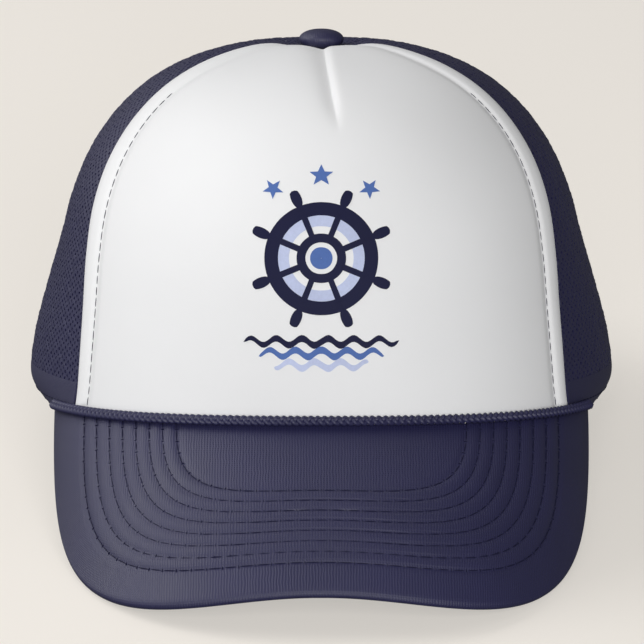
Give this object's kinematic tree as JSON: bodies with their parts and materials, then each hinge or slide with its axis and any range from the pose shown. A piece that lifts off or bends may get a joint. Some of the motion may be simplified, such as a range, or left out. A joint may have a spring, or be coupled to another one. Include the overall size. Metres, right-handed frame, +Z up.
{
  "type": "mesh-back cap with stitched brim",
  "caption": "Cap with a padded white front, navy mesh back, stitched curved brim, braid, covered button and arch strap.",
  "frame": {"origin": "centre of the bounding box's foot, on the surface that the cap rests on", "axes": "+Z up, -Y towards the brim, +X to the right as seen from the front"},
  "size_m": [0.1832, 0.2606, 0.1317],
  "materials": {
    "foam_cloth": "smooth white cloth over thin foam",
    "mesh_net": "open navy polyester net",
    "seam_tape": "woven navy tape",
    "hem_cloth": "folded navy cloth binding",
    "sweatband": "brushed navy cloth",
    "strap_plastic": "semi-matt moulded plastic",
    "brim_cloth": "navy twill, sewn in rows over a stiff core",
    "braid": "navy plaited braid",
    "button_cloth": "navy cloth over a metal button",
    "stitch_thread": "twisted navy sewing thread",
    "print_dark": "printed ink, near-black navy",
    "print_blue": "printed ink, mid blue",
    "print_pale": "printed ink, pale lavender blue"
  },
  "bodies": {
    "root": {"front_panel": "foam_cloth", "side_panel_left": "mesh_net", "side_panel_right": "mesh_net", "back_panel_left": "mesh_net", "back_panel_right": "mesh_net", "seam_tape_front_left": "seam_tape", "seam_tape_front_right": "seam_tape", "seam_tape_back_left": "seam_tape", "seam_tape_back_right": "seam_tape", "seam_tape_centre": "seam_tape", "hem_band_left": "hem_cloth", "hem_band_right": "hem_cloth", "arch_binding": "hem_cloth", "sweatband": "sweatband", "back_strap": "strap_plastic", "brim": "brim_cloth", "brim_braid": "braid", "top_button": "button_cloth"}
  },
  "joints": []
}
